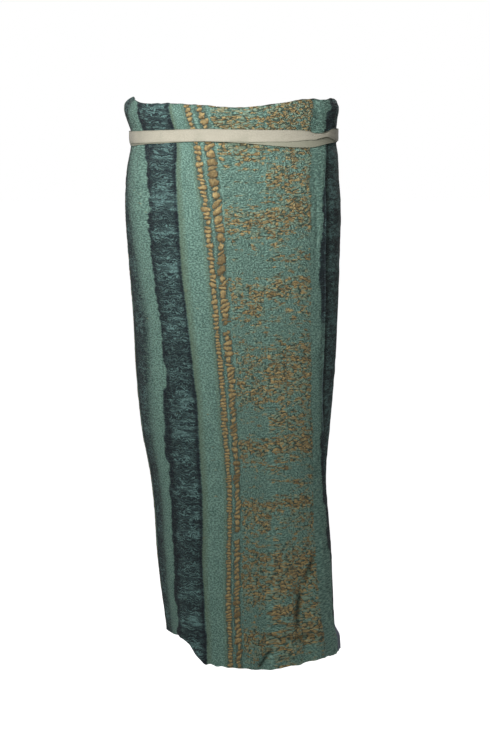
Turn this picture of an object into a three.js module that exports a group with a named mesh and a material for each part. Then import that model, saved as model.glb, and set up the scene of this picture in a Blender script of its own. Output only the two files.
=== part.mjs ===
// A long wrap skirt of crinkled cloth, held closed at the waist by a narrow tape wound twice round.
// It is modelled as worn: open at the waist and the hem, empty, in the shape of a general figure.
// Millimetres. X runs to the viewer's right, -Y is the front and Z is up.
// The origin is the centre of the waist, at the height of the tape.
import * as THREE from "three";

// Driving dimensions
const WALL = 1.6; // the crinkled cloth, peak to back
const SEAM_GAP = 0.3; // between panels at a side seam
const LAP_STEP = 2.6; // how far the front's inside stands off the body, so that it clears the under panel
const TAPE_WIDTH = 20.5;
const TAPE_THICKNESS = 1.0;
const TAPE_CLEARANCE = 0.5; // from the cloth to the first turn, and from one turn to the next
const ROUNDNESS = 2.3; // exponent of the horizontal sections: 2 is an ellipse, more is squarer
const MM_PER_DEGREE = 2.6; // mean length of cloth in one degree round the body

// How many columns each panel has round the body, and how many rows each zone has down it
const COLUMNS = { front: 50, back: 32, under: 26 };
const ZONE_ROWS = { collar: 5, body: 16, hem: 5 };
const TAPE_STEP = 4; // degrees between the tape's stations

// A place round the body is a turn in degrees: 0 right side, 90 front, 180 left side, 270 back, 360 right side again.
const RIGHT_SEAM = 360;
const LEFT_SEAM = 180;
const UNDER_END = RIGHT_SEAM + 122; // the hidden edge of the under panel, beneath the front
const LAP_FULL = 130; // up to this turn the front stands off by the whole lap step
const UNDER_EASE = 0.9; // how far the under panel lies inside the body's section beneath the front
const LAP_START = { from: 8, full: 25 }; // where the tape climbs on to the front's free edge
const TAPE_CROSSING = { from: 324, full: 356 }; // degrees wound, where the tape climbs on to its own first turn
const TAPE_WOUND = 680; // degrees wound in all, so that it ends where it began to climb

// Horizontal sections from the top edge down: the reach of the cloth's inside to each side at height z
const SECTIONS = [
  { z: 76, left: -164, right: 163, front: 112, back: 109 },
  { z: 64, left: -177, right: 172, front: 117, back: 114 },
  { z: 48, left: -182, right: 177.5, front: 119, back: 117 },
  { z: 28, left: -177, right: 174.5, front: 116, back: 114 },
  { z: 12, left: -171.5, right: 173.5, front: 113, back: 111 },
  { z: 0, left: -171, right: 173.5, front: 112, back: 110 },
  { z: -12, left: -170.5, right: 173.5, front: 113, back: 111 },
  { z: -30, left: -173.5, right: 176.5, front: 116, back: 116 },
  { z: -60, left: -179, right: 178, front: 120, back: 125 },
  { z: -120, left: -181.5, right: 182, front: 124, back: 134 },
  { z: -200, left: -177, right: 180.5, front: 125, back: 137 },
  { z: -300, left: -170, right: 178, front: 122, back: 132 },
  { z: -400, left: -165.5, right: 173.5, front: 116, back: 123 },
  { z: -500, left: -156.5, right: 165.5, front: 109, back: 114 },
  { z: -570, left: -144, right: 160, front: 104, back: 109 },
  { z: -630, left: -137, right: 161, front: 101, back: 107 },
  { z: -720, left: -131.5, right: 167.5, front: 100, back: 106 },
  { z: -790, left: -124, right: 171, front: 102, back: 107 },
  { z: -850, left: -116.5, right: 174, front: 105, back: 109 },
  { z: -900, left: -115.5, right: 176.5, front: 108, back: 112 },
];

// The heights of the top edge and of the hem, all round
const EDGES = [
  { turn: 0, top: 50, hem: -894 },
  { turn: 8, top: 54, hem: -896 },
  { turn: 14, top: 60, hem: -896 },
  { turn: 21, top: 66, hem: -893 },
  { turn: 31, top: 63, hem: -890 },
  { turn: 42, top: 64.5, hem: -890 },
  { turn: 54, top: 63, hem: -893.5 },
  { turn: 64, top: 58.5, hem: -895 },
  { turn: 74, top: 54, hem: -898 },
  { turn: 83, top: 52, hem: -899 },
  { turn: 92, top: 52, hem: -898 },
  { turn: 105, top: 55, hem: -894 },
  { turn: 114, top: 57, hem: -892 },
  { turn: 122, top: 58, hem: -890.5 },
  { turn: 127, top: 58, hem: -880 },
  { turn: 132, top: 57, hem: -864 },
  { turn: 137, top: 57, hem: -856 },
  { turn: 144, top: 59.5, hem: -851.5 },
  { turn: 150, top: 63, hem: -852 },
  { turn: 156, top: 69, hem: -853 },
  { turn: 163, top: 63, hem: -854 },
  { turn: 170, top: 58, hem: -855 },
  { turn: 180, top: 52, hem: -857 },
  { turn: 200, top: 47, hem: -862 },
  { turn: 225, top: 40, hem: -872 },
  { turn: 250, top: 36, hem: -880 },
  { turn: 270, top: 34, hem: -885 },
  { turn: 300, top: 36, hem: -890 },
  { turn: 330, top: 42, hem: -893 },
  { turn: 345, top: 46, hem: -894 },
  { turn: 360, top: 50, hem: -894 },
];

// The front's free edge: the turn that it reaches at height z
const FREE_EDGE = [
  { z: 64, turn: 15 },
  { z: 43, turn: 19 },
  { z: 12, turn: 28 },
  { z: -3, turn: 30.5 },
  { z: -19, turn: 33 },
  { z: -60, turn: 35.5 },
  { z: -101, turn: 36.5 },
  { z: -184, turn: 36.5 },
  { z: -268, turn: 35.5 },
  { z: -353, turn: 35 },
  { z: -440, turn: 33.5 },
  { z: -493, turn: 28.5 },
  { z: -560, turn: 20 },
  { z: -622, turn: 12 },
  { z: -700, turn: 4 },
  { z: -780, turn: 0 },
  { z: -860, turn: -3 },
  { z: -900, turn: -4 },
];

// Soft folds, each a trough, or a ridge with a negative depth, along a line from one place to another.
// An open one is as deep at its second end as in its middle, because it runs out of the hem.
const FOLDS = [
  { name: "knee crease", turn0: 53, z0: -680, turn1: 51, z1: -885, reach: 14, depth: 7, open: 1 },
  { name: "knee crease lip", turn0: 40, z0: -700, turn1: 39, z1: -885, reach: 14, depth: -3, open: 1 },
  { name: "hem shelf", turn0: 48, z0: -853, turn1: 84, z1: -846, reach: 9, depth: 4, open: 0 },
  { name: "hem crease", turn0: 73, z0: -850, turn1: 84, z1: -905, reach: 8, depth: 4, open: 1 },
  { name: "left calf", turn0: 160, z0: -430, turn1: 152, z1: -850, reach: 26, depth: 4, open: 1 },
  { name: "seat left", turn0: 222, z0: -170, turn1: 228, z1: -890, reach: 30, depth: 6, open: 1 },
  { name: "seat middle", turn0: 262, z0: -220, turn1: 257, z1: -890, reach: 34, depth: 8, open: 1 },
  { name: "seat right", turn0: 296, z0: -190, turn1: 292, z1: -890, reach: 28, depth: 6, open: 1 },
  { name: "right calf", turn0: 330, z0: -380, turn1: 326, z1: -880, reach: 26, depth: 5, open: 1 },
];

// The bottom corner of the free edge, which turns out a little
const CORNER = { top: -848, bottom: -874, reach: 14, out: 9 };

// The tape all round: the middle height of the turn that lies on the cloth and of the one on top of it,
// and how narrow and how folded the top one is, as shares, where it is twisted
const TAPE_COURSE = [
  { turn: -90, first: -1, second: 1, width: 1, folded: 0 },
  { turn: -30, first: 0, second: 3, width: 1, folded: 0 },
  { turn: 0, first: 2, second: 4, width: 1, folded: 0 },
  { turn: 20, first: 2.5, second: 4.6, width: 0.98, folded: 0 },
  { turn: 28, first: 2.5, second: 6.7, width: 0.8, folded: 0.4 },
  { turn: 33, first: 1, second: 6, width: 0.4, folded: 1 },
  { turn: 36, first: -0.5, second: 5, width: 0.3, folded: 1 },
  { turn: 40, first: -1.8, second: 4.8, width: 0.4, folded: 1 },
  { turn: 44, first: -3.5, second: 4.3, width: 0.5, folded: 0.8 },
  { turn: 49, first: -4.3, second: 5.9, width: 0.78, folded: 0.2 },
  { turn: 56, first: -3.6, second: 5.5, width: 0.92, folded: 0 },
  { turn: 75, first: 1.3, second: 5.6, width: 0.98, folded: 0 },
  { turn: 90, first: 5, second: 6, width: 1, folded: 0 },
  { turn: 107, first: 6.5, second: 6.7, width: 1, folded: 0 },
  { turn: 130, first: 3, second: 4.5, width: 0.96, folded: 0 },
  { turn: 141, first: 1.2, second: 3, width: 0.98, folded: 0 },
  { turn: 159, first: -2.8, second: 1, width: 1, folded: 0 },
  { turn: 180, first: -3, second: 0, width: 1, folded: 0 },
  { turn: 230, first: -2, second: 0, width: 1, folded: 0 },
  { turn: 270, first: -1, second: 1, width: 1, folded: 0 },
];
const FOLDED_EXTRA = 2.2; // added thickness where the tape is twisted into a narrow fold

const CLOTH_COLOUR = "#5f7d70";
const TAPE_COLOUR = "#c3bba4";

const clothMaterial = new THREE.MeshStandardMaterial({
  color: CLOTH_COLOUR,
  roughness: 0.85,
  metalness: 0,
});
const tapeMaterial = new THREE.MeshStandardMaterial({
  color: TAPE_COLOUR,
  roughness: 0.8,
  metalness: 0,
});

// A column of a table read smoothly at a key, by a cubic whose slope at each row is that between its neighbours
function read(table, key, column, at) {
  const last = table.length - 1;
  const down = table[last][key] < table[0][key];
  const t = down ? -at : at;
  const place = (i) => (down ? -table[i][key] : table[i][key]);
  if (t <= place(0)) return table[0][column];
  if (t >= place(last)) return table[last][column];
  let i = 0;
  while (place(i + 1) < t) i++;
  const slope = (k) => {
    const before = Math.max(k - 1, 0);
    const after = Math.min(k + 1, last);
    return (table[after][column] - table[before][column]) / (place(after) - place(before));
  };
  const step = place(i + 1) - place(i);
  const s = (t - place(i)) / step;
  const rise = table[i + 1][column] - table[i][column];
  const bendStart = slope(i) * step - rise;
  const bendEnd = rise - slope(i + 1) * step;
  return table[i][column] + s * rise + s * (1 - s) * ((1 - s) * bendStart + s * bendEnd);
}

function smoothstep(from, to, at) {
  const t = THREE.MathUtils.clamp((at - from) / (to - from), 0, 1);
  return t * t * (3 - 2 * t);
}

function edgeHeight(column, turn) {
  const t = ((turn % 360) + 360) % 360;
  return read(EDGES, "turn", column, t);
}

// The same place round the body, written as the turn nearest to another
function nearest(turn, other) {
  return turn - 360 * Math.round((turn - other) / 360);
}

// How far the soft folds press the cloth in at a place
function foldDepth(turn, z) {
  let depth = 0;
  for (const fold of FOLDS) {
    const start = new THREE.Vector2(fold.turn0 * MM_PER_DEGREE, fold.z0);
    const along = new THREE.Vector2(fold.turn1 * MM_PER_DEGREE, fold.z1).sub(start);
    const from = new THREE.Vector2(nearest(turn, fold.turn0) * MM_PER_DEGREE, z).sub(start);
    const share = THREE.MathUtils.clamp(from.dot(along) / along.lengthSq(), 0, 1);
    const away = from.addScaledVector(along, -share).length() / fold.reach;
    const strength = fold.open ? smoothstep(0, 0.5, share) : Math.sin(Math.PI * share);
    depth += fold.depth * strength * Math.exp(-away * away);
  }
  return depth;
}

// The point of the body's section at a turn and a height, moved out by a distance
function around(turn, z, out) {
  const left = read(SECTIONS, "z", "left", z);
  const right = read(SECTIONS, "z", "right", z);
  const angle = THREE.MathUtils.degToRad(turn);
  const c = Math.cos(angle);
  const s = Math.sin(angle);
  const depth = read(SECTIONS, "z", s >= 0 ? "front" : "back", z);
  const half = (right - left) / 2;
  const swell = (Math.abs(c) ** ROUNDNESS + Math.abs(s) ** ROUNDNESS) ** (-1 / ROUNDNESS);
  const x = c * swell;
  const y = -s * swell;
  const normal = new THREE.Vector2(
    (Math.sign(x) * Math.abs(x) ** (ROUNDNESS - 1)) / half,
    (Math.sign(y) * Math.abs(y) ** (ROUNDNESS - 1)) / depth,
  ).normalize();
  const reach = out - foldDepth(turn, z);
  return new THREE.Vector3(
    (left + right) / 2 + x * half + normal.x * reach,
    y * depth + normal.y * reach,
    z,
  );
}

// How far the inside of the front stands off the body: nothing at the left seam, the lap step over the under panel
function lapStep(turn) {
  return LAP_STEP * smoothstep(LEFT_SEAM, LAP_FULL, turn);
}

// How far the free edge's bottom corner turns out
function cornerTurn(turn, z, freeTurn) {
  const down = smoothstep(CORNER.top, CORNER.bottom, z);
  return CORNER.out * down * Math.exp(-Math.abs(turn - freeTurn) / CORNER.reach);
}

// The heights of the cloth's rows at a turn, from the top edge to the hem
function rowHeights(turn) {
  const waistRows = [12, 4, -4, -12, -21, -30];
  const hemZone = -810;
  const rows = [];
  for (let i = 0; i < ZONE_ROWS.collar; i++) {
    const share = i / ZONE_ROWS.collar;
    rows.push(THREE.MathUtils.lerp(edgeHeight("top", turn), waistRows[0], share));
  }
  rows.push(...waistRows);
  for (let i = 1; i <= ZONE_ROWS.body; i++) {
    rows.push(THREE.MathUtils.lerp(waistRows.at(-1), hemZone, i / ZONE_ROWS.body));
  }
  for (let i = 1; i <= ZONE_ROWS.hem; i++) {
    rows.push(THREE.MathUtils.lerp(hemZone, edgeHeight("hem", turn), i / ZONE_ROWS.hem));
  }
  return rows;
}

// A closed wall from two grids of points, the outer one and the inner one. Columns run with the turn, rows run down.
function wallGeometry(outer, inner) {
  const columns = outer.length;
  const rows = outer[0].length;
  const positions = [];
  for (const grid of [outer, inner]) {
    for (const column of grid) for (const p of column) positions.push(p.x, p.y, p.z);
  }
  const at = (side, i, j) => side * columns * rows + i * rows + j;
  const index = [];
  const quad = (a, b, c, d) => index.push(a, b, c, a, c, d);
  for (let i = 0; i + 1 < columns; i++) {
    for (let j = 0; j + 1 < rows; j++) {
      quad(at(0, i, j), at(0, i + 1, j), at(0, i + 1, j + 1), at(0, i, j + 1));
      quad(at(1, i, j), at(1, i, j + 1), at(1, i + 1, j + 1), at(1, i + 1, j));
    }
    const end = rows - 1;
    quad(at(0, i, 0), at(1, i, 0), at(1, i + 1, 0), at(0, i + 1, 0));
    quad(at(0, i, end), at(0, i + 1, end), at(1, i + 1, end), at(1, i, end));
  }
  for (let j = 0; j + 1 < rows; j++) {
    const end = columns - 1;
    quad(at(0, 0, j), at(0, 0, j + 1), at(1, 0, j + 1), at(1, 0, j));
    quad(at(0, end, j), at(1, end, j), at(1, end, j + 1), at(0, end, j + 1));
  }
  const geometry = new THREE.BufferGeometry();
  geometry.setAttribute("position", new THREE.Float32BufferAttribute(positions, 3));
  geometry.setIndex(index);
  geometry.computeVertexNormals();
  return geometry;
}

// One panel of cloth. turnAt(share, level) is the turn at a share of its width, at the height of a row on the front
// middle; standOff(turn, z, level) is how far its inside is from the body; seams say which way each side edge gives way.
function panelMesh(name, columns, seams, turnAt, standOff) {
  const levels = rowHeights(90);
  const gridAt = (out) => {
    const grid = [];
    for (let i = 0; i <= columns; i++) {
      const seam = i === 0 ? seams.start : i === columns ? seams.end : 0;
      const column = levels.map((level, row) => {
        const turn = turnAt(i / columns, level);
        const z = rowHeights(turn)[row];
        const p = around(turn, z, standOff(turn, z, level) + out);
        p.y += (seam * SEAM_GAP) / 2;
        return p;
      });
      grid.push(column);
    }
    return grid;
  };
  const mesh = new THREE.Mesh(wallGeometry(gridAt(WALL), gridAt(0)), clothMaterial);
  mesh.name = name;
  return mesh;
}

function frontPanel() {
  const freeAt = (level) => read(FREE_EDGE, "z", "turn", level);
  const turnAt = (share, level) => THREE.MathUtils.lerp(freeAt(level), LEFT_SEAM, share);
  const standOff = (turn, z, level) => lapStep(turn) + cornerTurn(turn, z, freeAt(level));
  return panelMesh("front_panel", COLUMNS.front, { start: 0, end: -1 }, turnAt, standOff);
}

function backPanel() {
  const turnAt = (share) => THREE.MathUtils.lerp(LEFT_SEAM, RIGHT_SEAM, share);
  return panelMesh("back_panel", COLUMNS.back, { start: 1, end: 1 }, turnAt, () => 0);
}

function underPanel() {
  const turnAt = (share) => THREE.MathUtils.lerp(RIGHT_SEAM, UNDER_END, share);
  const standOff = (turn) => -UNDER_EASE * smoothstep(RIGHT_SEAM, RIGHT_SEAM + 40, turn);
  return panelMesh("under_panel", COLUMNS.under, { start: -1, end: 0 }, turnAt, standOff);
}

// How far the tape's bed stands off the body: over the lap it lies on both layers, elsewhere on one
function tapeBed(turn) {
  const lap = turn < LAP_START.full ? LAP_STEP * smoothstep(LAP_START.from, LAP_START.full, turn) : lapStep(turn);
  return WALL + lap + TAPE_CLEARANCE;
}

// One strip of tape wound nearly twice round from the centre back, the second turn on the first
function waistTape() {
  const stations = TAPE_WOUND / TAPE_STEP;
  const outer = [];
  const inner = [];
  for (let i = 0; i <= stations; i++) {
    const wound = i * TAPE_STEP;
    const turn = (wound % 360) - 90;
    const second = smoothstep(TAPE_CROSSING.from, TAPE_CROSSING.full, wound);
    const blend = (first, last) => THREE.MathUtils.lerp(first, last, second);
    const course = (column) => read(TAPE_COURSE, "turn", column, turn);
    const middle = blend(course("first"), course("second"));
    const half = (TAPE_WIDTH / 2) * blend(1, course("width"));
    const bed = tapeBed(turn) + blend(0, TAPE_THICKNESS + TAPE_CLEARANCE);
    const top = bed + TAPE_THICKNESS + blend(0, FOLDED_EXTRA * course("folded"));
    const heights = [middle + half, middle, middle - half];
    outer.push(heights.map((z) => around(turn, z, top)));
    inner.push(heights.map((z) => around(turn, z, bed)));
  }
  const mesh = new THREE.Mesh(wallGeometry(outer, inner), tapeMaterial);
  mesh.name = "waist_tape";
  return mesh;
}

const skirt = new THREE.Group();
skirt.add(frontPanel(), backPanel(), underPanel(), waistTape());

export default skirt;
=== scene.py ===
"""A long wrap skirt of crinkled, striped cloth in its worn form, with a narrow tape wound round the waist.

Sizes are in millimetres in the tables and classes, and become metres where a mesh is made. X runs to
the viewer's right, -Y is the front and Z is up; the origin is the centre of the waist. A place round the
body is a turn in degrees: 0 right side, 90 front, 180 left side, 270 back. A place across the cloth is its
distance from the front's free edge, measured along the cloth.
"""

import logging
import math
from dataclasses import dataclass
from enum import Enum

import bpy
import numpy as np
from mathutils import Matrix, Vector

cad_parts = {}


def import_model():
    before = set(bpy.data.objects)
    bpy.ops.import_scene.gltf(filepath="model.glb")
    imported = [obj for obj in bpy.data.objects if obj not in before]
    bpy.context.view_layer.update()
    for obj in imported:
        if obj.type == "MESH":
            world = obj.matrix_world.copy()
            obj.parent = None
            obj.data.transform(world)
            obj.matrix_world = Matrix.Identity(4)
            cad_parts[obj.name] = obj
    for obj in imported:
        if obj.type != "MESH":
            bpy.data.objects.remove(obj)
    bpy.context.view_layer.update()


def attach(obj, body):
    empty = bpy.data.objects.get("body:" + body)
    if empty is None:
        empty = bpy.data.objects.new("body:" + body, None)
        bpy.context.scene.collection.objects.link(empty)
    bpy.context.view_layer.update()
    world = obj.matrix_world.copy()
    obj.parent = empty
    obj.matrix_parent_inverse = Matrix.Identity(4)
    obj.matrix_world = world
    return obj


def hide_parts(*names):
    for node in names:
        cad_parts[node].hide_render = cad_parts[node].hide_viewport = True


log = logging.getLogger("skirt")

MM = 0.001
BODY = "root"

Array = np.ndarray
Pair = tuple[float, float]
Point = tuple[float, float, float]
Colour = tuple[float, float, float, float]


@dataclass(frozen=True)
class Table:
    """Rows of named columns, read smoothly at the first column."""

    columns: tuple[str, ...]
    rows: tuple[tuple[float, ...], ...]

    def read(self, column: str, at: Array) -> Array:
        """Reads one column by a cubic whose slope at each row is that between its neighbours.

        Args:
            column: the column's name.
            at: values of the first column.

        Returns:
            The column's value at each of them.
        """
        data = np.array(self.rows, float)
        keys = data[:, 0]
        values = data[:, self.columns.index(column)]
        at = np.asarray(at, float)
        if keys[-1] < keys[0]:
            keys = -keys
            at = -at
        last = len(keys) - 1
        before = np.maximum(np.arange(last + 1) - 1, 0)
        after = np.minimum(np.arange(last + 1) + 1, last)
        slope = (values[after] - values[before]) / (keys[after] - keys[before])
        i = np.clip(np.searchsorted(keys, at, side="right") - 1, 0, last - 1)
        step = keys[i + 1] - keys[i]
        s = (np.clip(at, keys[0], keys[-1]) - keys[i]) / step
        rise = values[i + 1] - values[i]
        bend_start = slope[i] * step - rise
        bend_end = rise - slope[i + 1] * step
        return values[i] + s * rise + s * (1 - s) * ((1 - s) * bend_start + s * bend_end)


def table(columns: str, *rows: tuple[float, ...]) -> Table:
    """A table from the names of its columns, with blanks between them, and its rows."""
    return Table(tuple(columns.split()), rows)


# The reach of the cloth's inside to each side at height z
SECTIONS = table(
    "z left right front back",
    (76, -164, 163, 112, 109),
    (64, -177, 172, 117, 114),
    (48, -182, 177.5, 119, 117),
    (28, -177, 174.5, 116, 114),
    (12, -171.5, 173.5, 113, 111),
    (0, -171, 173.5, 112, 110),
    (-12, -170.5, 173.5, 113, 111),
    (-30, -173.5, 176.5, 116, 116),
    (-60, -179, 178, 120, 125),
    (-120, -181.5, 182, 124, 134),
    (-200, -177, 180.5, 125, 137),
    (-300, -170, 178, 122, 132),
    (-400, -165.5, 173.5, 116, 123),
    (-500, -156.5, 165.5, 109, 114),
    (-570, -144, 160, 104, 109),
    (-630, -137, 161, 101, 107),
    (-720, -131.5, 167.5, 100, 106),
    (-790, -124, 171, 102, 107),
    (-850, -116.5, 174, 105, 109),
    (-900, -115.5, 176.5, 108, 112),
)

# The heights of the top edge and of the hem, all round
EDGES = table(
    "turn top hem",
    (0, 50, -894),
    (8, 54, -896),
    (14, 60, -896),
    (21, 66, -893),
    (31, 63, -890),
    (42, 64.5, -890),
    (54, 63, -893.5),
    (64, 58.5, -895),
    (74, 54, -898),
    (83, 52, -899),
    (92, 52, -898),
    (105, 55, -894),
    (114, 57, -892),
    (122, 58, -890.5),
    (127, 58, -880),
    (132, 57, -864),
    (137, 57, -856),
    (144, 59.5, -851.5),
    (150, 63, -852),
    (156, 69, -853),
    (163, 63, -854),
    (170, 58, -855),
    (180, 52, -857),
    (200, 47, -862),
    (225, 40, -872),
    (250, 36, -880),
    (270, 34, -885),
    (300, 36, -890),
    (330, 42, -893),
    (345, 46, -894),
    (360, 50, -894),
)

# The front's free edge: the turn that it reaches at height z
FREE_EDGE = table(
    "z turn",
    (64, 15),
    (43, 19),
    (12, 28),
    (-3, 30.5),
    (-19, 33),
    (-60, 35.5),
    (-101, 36.5),
    (-184, 36.5),
    (-268, 35.5),
    (-353, 35),
    (-440, 33.5),
    (-493, 28.5),
    (-560, 20),
    (-622, 12),
    (-700, 4),
    (-780, 0),
    (-860, -3),
    (-900, -4),
)

# Where the stripes' borders lie on the front at height z, as turns.
# ACROSS gives the same borders across the cloth.
STRIPES = table(
    "z border field_c gap field_b rungs_2 rungs_2_end rungs_1 rungs_1_end navy_1 navy_1_end navy_2",
    (60, 31, 45.5, 71, 74, 103, 108.4, 111.2, 115, 122.5, 147, 152),
    (0, 32.5, 46, 71.2, 74.5, 101, 106.5, 108.5, 112, 121.4, 143, 167),
    (-100, 38, 48.5, 71.8, 75, 95.5, 100.5, 102, 106.3, 118.5, 137, 160),
    (-217, 42, 47.7, 72.2, 75.3, 94, 98.6, 99.6, 103, 117.4, 136.5, 149),
    (-300, 40, 47.3, 71.5, 74.6, 92.6, 97.4, 98.6, 101.6, 115.6, 133.5, 144.5),
    (-440, 37, 44, 69.8, 73.2, 89.5, 93.5, 94.8, 98.5, 111.8, 131, 145),
    (-580, 24.5, 37.6, 66.8, 71.6, 88.4, 92.5, 93.9, 97.3, 113, 136, 148.5),
    (-720, 17, 39.8, 69, 74.8, 92, 96.5, 98, 101.2, 116.8, 137.2, 151),
    (-790, 15, 40.5, 69.8, 77, 94.1, 98.6, 99.9, 103.8, 117.8, 142, 154),
    (-875, 14, 36, 72.3, 79.5, 95.4, 100, 101.7, 105.3, 119.5, 146, 157),
)
ACROSS: dict[str, float] = {
    "border": 12.0,
    "field_c": 27.0,
    "gap": 97.0,
    "field_b": 106.0,
    "rungs_2": 172.0,
    "rungs_2_end": 189.0,
    "rungs_1": 195.0,
    "rungs_1_end": 208.0,
    "navy_1": 250.0,
    "navy_1_end": 304.0,
    "navy_2": 338.0,
}
LEFT_SEAM = 180.0
RIGHT_SEAM = 360.0
UNDER_END = 482.0
LEFT_SEAM_ACROSS = 425.0
MM_PER_DEGREE = 2.75  # cloth in one degree round the back


def smoothstep(low: float, high: float, at: Array) -> Array:
    """Rises smoothly from 0 at low to 1 at high."""
    t = np.clip((np.asarray(at, float) - low) / (high - low), 0, 1)
    return t * t * (3 - 2 * t)


@dataclass(frozen=True)
class Crease:
    """A soft trough in the cloth, or a ridge where its depth is negative, along a line between two places."""

    turn0: float
    z0: float
    turn1: float
    z1: float
    reach: float
    depth: float
    open_end: bool = False  # as deep at its second end as in its middle

    def press(self, turn: Array, z: Array) -> Array:
        """How far the crease presses the cloth in at each place, in millimetres."""
        scale = 2.6  # mean millimetres of cloth in one degree
        near = turn - 360 * np.round((turn - self.turn0) / 360)
        along = np.array([(self.turn1 - self.turn0) * scale, self.z1 - self.z0])
        off_x = (near - self.turn0) * scale
        off_z = z - self.z0
        share = np.clip((off_x * along[0] + off_z * along[1]) / (along @ along), 0, 1)
        away = np.hypot(off_x - share * along[0], off_z - share * along[1]) / self.reach
        strength = smoothstep(0, 0.5, share) if self.open_end else np.sin(np.pi * share)
        return self.depth * strength * np.exp(-away * away)


def creases(*rows: tuple[float, ...]) -> tuple[Crease, ...]:
    """Creases from rows of their two places, their reach and depth, and whether their second end is open."""
    return tuple(Crease(*row) for row in rows)


# The folds that the solids have as well
MAIN_FOLDS = creases(
    (53, -680, 51, -885, 14, 7, True),
    (40, -700, 39, -885, 14, -3, True),
    (48, -853, 84, -846, 9, 4),
    (73, -850, 84, -905, 8, 4, True),
    (160, -430, 152, -850, 26, 4, True),
    (222, -170, 228, -890, 30, 6, True),
    (262, -220, 257, -890, 34, 8, True),
    (296, -190, 292, -890, 28, 6, True),
    (330, -380, 326, -880, 26, 5, True),
)

# Smaller creases, front first, then the hidden sides
SMALL_CREASES = creases(
    (104, -88, 80, -62, 7, 1.2),
    (99, -106, 84, -90, 6, 0.9),
    (72, -30, 66, -118, 8, -1.0),
    (118, -18, 114, -120, 8, 1.1),
    (134, -18, 138, -90, 7, -1.0),
    (150, -16, 153, -70, 6, 1.2),
    (60, -18, 57, -76, 6, 1.0),
    (88, -16, 90, -60, 6, 0.8),
    (146, 14, 142, 52, 6, 1.1),
    (128, 13, 125, 50, 7, 0.9),
    (103, 14, 106, 48, 7, 0.8),
    (78, 13, 75, 50, 7, 0.9),
    (55, 14, 58, 56, 6, 1.0),
    (40, 13, 42, 52, 6, 1.2),
    (64, -300, 58, -520, 12, 1.2),
    (104, -470, 100, -700, 12, 1.3),
    (122, -560, 126, -760, 10, -1.2),
    (86, -560, 76, -700, 10, 1.1),
    (62, -600, 74, -650, 9, 1.0),
    (44, -470, 66, -545, 9, 1.2),
    (30, -560, 50, -610, 8, 1.1),
    (38, -698, 52, -764, 6, 3.8),
    (51, -752, 59, -850, 6, 4.6),
    (66, -760, 62, -840, 7, -1.4),
    (97, -872, 87, -838, 4, 1.8),
    (88, -840, 74, -842, 4, 1.8),
    (76, -838, 64, -856, 4.5, 2.0),
    (67, -854, 40, -846, 5, 2.8),
    (72, -852, 84, -893, 4, 3.4, True),
    (68, -858, 80, -893, 5, -2.0, True),
    (99, -112, 80, -68, 4, 1.5),
    (104, -92, 90, -72, 4, 1.2),
    (110, -118, 92, -104, 4, 1.0),
    (74.6, -18, 75, -120, 3.5, 0.5),
    (95, -9.5, 76, -13, 4, 2.6),
    (84, -12, 46, -19.5, 3.2, 1.9),
    (92, -790, 95, -890, 10, 1.2, True),
    (112, -800, 108, -890, 9, -1.0, True),
    (196, -20, 198, -110, 7, 1.2),
    (214, -18, 211, -150, 8, 1.4),
    (238, -17, 236, -100, 7, 1.1),
    (262, -18, 264, -130, 8, 1.3),
    (284, -17, 286, -90, 7, 1.0),
    (306, -18, 302, -140, 8, 1.4),
    (330, -17, 333, -90, 7, 1.1),
    (200, 14, 203, 40, 6, 1.1),
    (232, 13, 229, 34, 6, 1.0),
    (258, 13, 260, 31, 6, 0.9),
    (290, 13, 287, 31, 6, 1.0),
    (318, 14, 320, 36, 6, 1.1),
    (345, 14, 343, 42, 6, 1.2),
    (240, -420, 212, -520, 12, 1.6),
    (276, -380, 300, -470, 12, 1.4),
    (246, -560, 270, -640, 12, 1.5),
    (312, -520, 286, -600, 11, 1.4),
    (206, -620, 236, -690, 11, 1.3),
    (188, -470, 206, -560, 10, 1.2),
    (346, -560, 322, -640, 10, 1.3),
    (2, -725, 0, -832, 9, 5.0, True),
    (-9, -816, 9, -813, 4, 5.0),
    (44, -12, 44, -260, 4, 1.6),
    (8, -60, 14, -230, 9, 1.0),
    (20, -260, 12, -420, 9, 1.0),
)


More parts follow.
